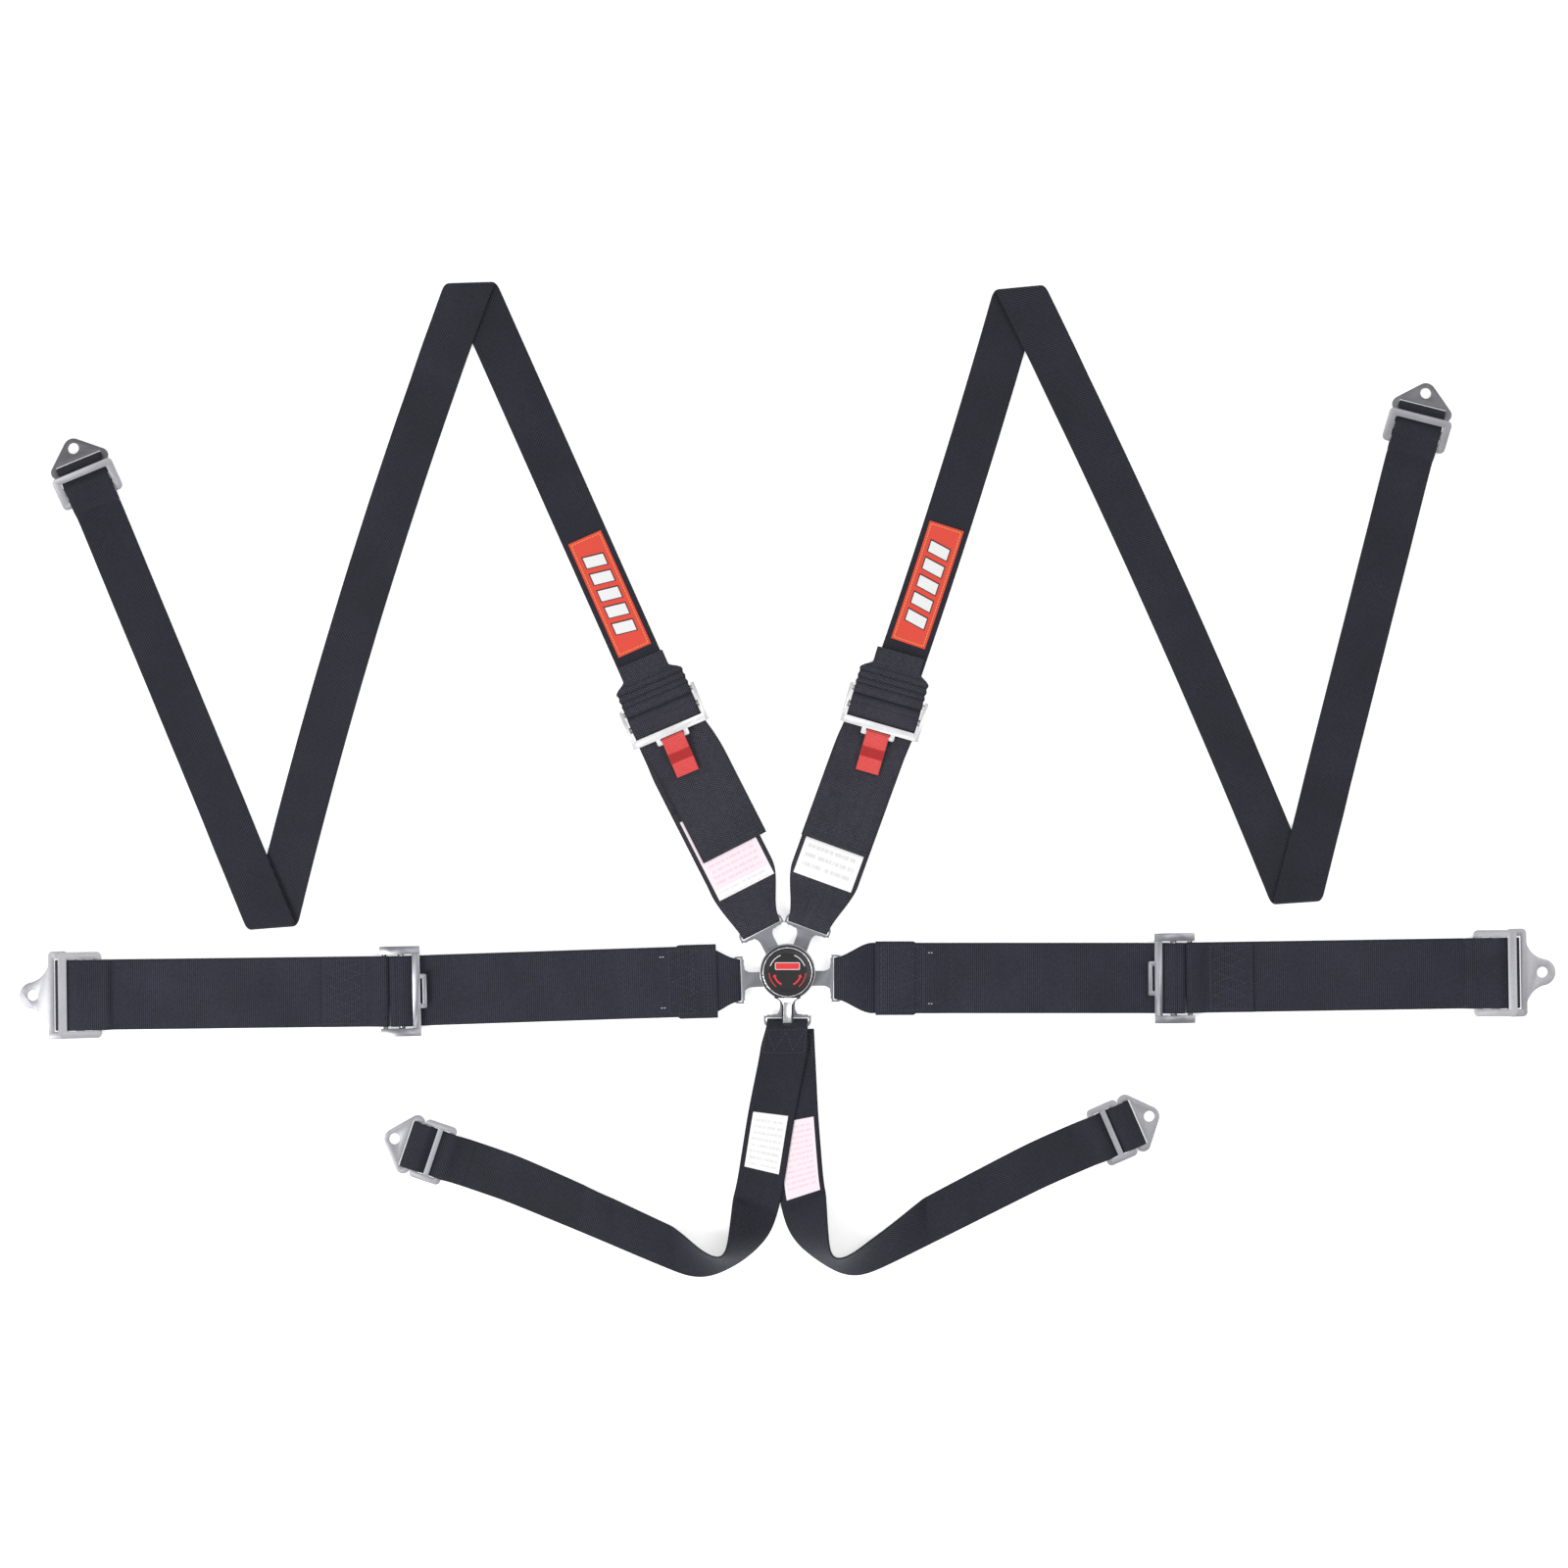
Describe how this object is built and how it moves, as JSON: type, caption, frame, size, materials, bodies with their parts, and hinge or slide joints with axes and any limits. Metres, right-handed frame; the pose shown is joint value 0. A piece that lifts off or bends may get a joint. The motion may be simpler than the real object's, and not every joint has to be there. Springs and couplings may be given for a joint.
{
  "type": "racing harness",
  "caption": "Six-point racing harness with a round cam lock, wide lap and chest webbing, narrow folded shoulder straps, a two-leg crotch strap and bolt-in brackets.",
  "frame": {"origin": "centre of the cam lock's back face, on the turn lever's axis", "axes": "+Z out of the lock's face, +X towards the wearer's left lap belt as the harness lies, +Y towards the shoulder straps"},
  "size_m": [1.6602, 1.0775, 0.0494],
  "materials": {
    "housing_metal": "satin",
    "black_lever": "satin",
    "silver_trim": "polished",
    "lock_face": "gloss",
    "inner_steel": "satin",
    "tongue_steel": "satin",
    "zinc_plate": "satin",
    "dark_plate": "satin",
    "adjuster_steel": "satin",
    "black_webbing": "woven",
    "red_webbing": "woven",
    "sewn_labels": "woven"
  },
  "bodies": {
    "root": {"housing_base": "housing_metal", "housing_body": "housing_metal", "lock_fasteners": "inner_steel", "pivot_post": "inner_steel", "lock_springs": "inner_steel", "lap_r_tongue": "tongue_steel", "lap_r_belt_web": "black_webbing", "lap_r_anchor_web": "black_webbing", "lap_r_slide": "zinc_plate"},
    "turn_lever": {"lever": "black_lever", "lever_inlay": "silver_trim", "lever_ring": "silver_trim", "face_disc": "lock_face", "cam_rotor": "inner_steel"},
    "pin_lap_l": {"latch_pin_lap_l": "inner_steel"},
    "pin_shoulder_l": {"latch_pin_shoulder_l": "inner_steel"},
    "pin_shoulder_r": {"latch_pin_shoulder_r": "inner_steel"},
    "pin_crotch": {"latch_pin_crotch": "inner_steel"},
    "lap_l_belt": {"lap_l_tongue": "tongue_steel", "lap_l_belt_web": "black_webbing", "lap_l_anchor_web": "black_webbing", "lap_l_slide": "zinc_plate"},
    "shoulder_l_belt": {"shoulder_l_tongue": "tongue_steel", "shoulder_l_chest_web": "black_webbing", "shoulder_l_joiner_web": "black_webbing", "shoulder_l_strap": "black_webbing", "shoulder_l_labels": "sewn_labels", "shoulder_l_slide": "zinc_plate"},
    "shoulder_r_belt": {"shoulder_r_tongue": "tongue_steel", "shoulder_r_chest_web": "black_webbing", "shoulder_r_joiner_web": "black_webbing", "shoulder_r_strap": "black_webbing", "shoulder_r_labels": "sewn_labels", "shoulder_r_slide": "zinc_plate"},
    "crotch_belt": {"crotch_tongue": "tongue_steel", "crotch_leg_l": "black_webbing", "crotch_leg_r": "black_webbing", "crotch_labels": "sewn_labels", "crotch_l_slide": "zinc_plate", "crotch_r_slide": "zinc_plate"},
    "lap_l_adjuster": {"lap_l_adjuster_frame": "adjuster_steel", "lap_l_adjuster_bar": "adjuster_steel", "lap_l_belt_roll": "black_webbing"},
    "lap_r_adjuster": {"lap_r_adjuster_frame": "adjuster_steel", "lap_r_adjuster_bar": "adjuster_steel", "lap_r_belt_roll": "black_webbing"},
    "shoulder_l_adjuster": {"shoulder_l_adjuster_frame": "adjuster_steel", "shoulder_l_adjuster_bar": "adjuster_steel", "shoulder_l_chest_roll": "black_webbing"},
    "shoulder_l_tab": {"shoulder_l_pull_tab": "red_webbing"},
    "shoulder_r_adjuster": {"shoulder_r_adjuster_frame": "adjuster_steel", "shoulder_r_adjuster_bar": "adjuster_steel", "shoulder_r_chest_roll": "black_webbing"},
    "shoulder_r_tab": {"shoulder_r_pull_tab": "red_webbing"},
    "lap_l_end": {"lap_l_bracket": "zinc_plate"},
    "lap_r_end": {"lap_r_bracket": "zinc_plate"},
    "shoulder_l_end": {"shoulder_l_bracket": "dark_plate"},
    "shoulder_r_end": {"shoulder_r_bracket": "zinc_plate"},
    "crotch_l_end": {"crotch_l_bracket": "zinc_plate"},
    "crotch_r_end": {"crotch_r_bracket": "zinc_plate"}
  },
  "joints": [
    {"name": "lever_turn", "type": "hinge", "parent": "root", "child": "turn_lever", "pos_m": [0, 0, 0.02], "axis": [0, 0, 1], "range_deg": [-60, 60], "stiffness_Nm_per_rad": 0.15},
    {"name": "pin_lap_l_drop", "type": "slide", "parent": "root", "child": "pin_lap_l", "axis": [0, 0, -1], "range_m": [0, 0.003], "stiffness_N_per_m": 300},
    {"name": "pin_shoulder_l_drop", "type": "slide", "parent": "root", "child": "pin_shoulder_l", "axis": [0, 0, -1], "range_m": [0, 0.003], "stiffness_N_per_m": 300},
    {"name": "pin_shoulder_r_drop", "type": "slide", "parent": "root", "child": "pin_shoulder_r", "axis": [0, 0, -1], "range_m": [0, 0.003], "stiffness_N_per_m": 300},
    {"name": "pin_crotch_drop", "type": "slide", "parent": "root", "child": "pin_crotch", "axis": [0, 0, -1], "range_m": [0, 0.003], "stiffness_N_per_m": 300},
    {"name": "lap_l_release", "type": "slide", "parent": "root", "child": "lap_l_belt", "axis": [-0.9995, -0.0332, 0], "range_m": [0, 0.06]},
    {"name": "shoulder_l_release", "type": "slide", "parent": "root", "child": "shoulder_l_belt", "axis": [-0.4695, 0.8829, 0], "range_m": [0, 0.06]},
    {"name": "shoulder_r_release", "type": "slide", "parent": "root", "child": "shoulder_r_belt", "axis": [0.342, 0.9397, 0], "range_m": [0, 0.06]},
    {"name": "crotch_release", "type": "slide", "parent": "root", "child": "crotch_belt", "axis": [0, -1, 0], "range_m": [0, 0.06]},
    {"name": "lap_l_adjuster_tilt", "type": "hinge", "parent": "lap_l_belt", "child": "lap_l_adjuster", "pos_m": [-0.43477, -0.02173, 0.0056], "axis": [0.0227, -0.9997, 0], "range_deg": [0, 35]},
    {"name": "lap_r_adjuster_tilt", "type": "hinge", "parent": "root", "child": "lap_r_adjuster", "pos_m": [0.435, -0.00706, 0.0056], "axis": [-0.0079, 1, 0], "range_deg": [0, 35]},
    {"name": "shoulder_l_adjuster_tilt", "type": "hinge", "parent": "shoulder_l_belt", "child": "shoulder_l_adjuster", "pos_m": [-0.14003, 0.29157, 0.0056], "axis": [-0.9205, -0.3907, 0], "range_deg": [0, 35]},
    {"name": "shoulder_l_tab_swing", "type": "hinge", "parent": "shoulder_l_adjuster", "child": "shoulder_l_tab", "pos_m": [-0.12312, 0.25171, 0.01025], "axis": [-0.9205, -0.3907, 0], "range_deg": [0, 100]},
    {"name": "shoulder_r_adjuster_tilt", "type": "hinge", "parent": "shoulder_r_belt", "child": "shoulder_r_adjuster", "pos_m": [0.10896, 0.2963, 0.0056], "axis": [-0.9613, 0.2756, 0], "range_deg": [0, 35]},
    {"name": "shoulder_r_tab_swing", "type": "hinge", "parent": "shoulder_r_adjuster", "child": "shoulder_r_tab", "pos_m": [0.09703, 0.25468, 0.01025], "axis": [-0.9613, 0.2756, 0], "range_deg": [0, 100]},
    {"name": "lap_l_bracket_swivel", "type": "hinge", "parent": "lap_l_belt", "child": "lap_l_end", "pos_m": [-0.77974, -0.02576, 0.0054], "axis": [-0.0122, 0.9999, 0], "range_deg": [0, 25]},
    {"name": "lap_r_bracket_swivel", "type": "hinge", "parent": "root", "child": "lap_r_end", "pos_m": [0.77995, -0.0015, 0.0054], "axis": [0.0157, -0.9999, 0], "range_deg": [0, 25]},
    {"name": "shoulder_l_bracket_swivel", "type": "hinge", "parent": "shoulder_l_belt", "child": "shoulder_l_end", "pos_m": [-0.76279, 0.54345, 0.0054], "axis": [0.9239, 0.3827, 0], "range_deg": [0, 55]},
    {"name": "shoulder_r_bracket_swivel", "type": "hinge", "parent": "shoulder_r_belt", "child": "shoulder_r_end", "pos_m": [0.68419, 0.60205, 0.0054], "axis": [0.9694, -0.2453, 0], "range_deg": [0, 55]},
    {"name": "crotch_l_bracket_swivel", "type": "hinge", "parent": "crotch_belt", "child": "crotch_l_end", "pos_m": [-0.4025, -0.1885, 0.0054], "axis": [0.3206, 0.9472, 0], "range_deg": [0, 55]},
    {"name": "crotch_r_bracket_swivel", "type": "hinge", "parent": "crotch_belt", "child": "crotch_r_end", "pos_m": [0.3695, -0.166, 0.0054], "axis": [0.3987, -0.9171, 0], "range_deg": [0, 55]}
  ]
}
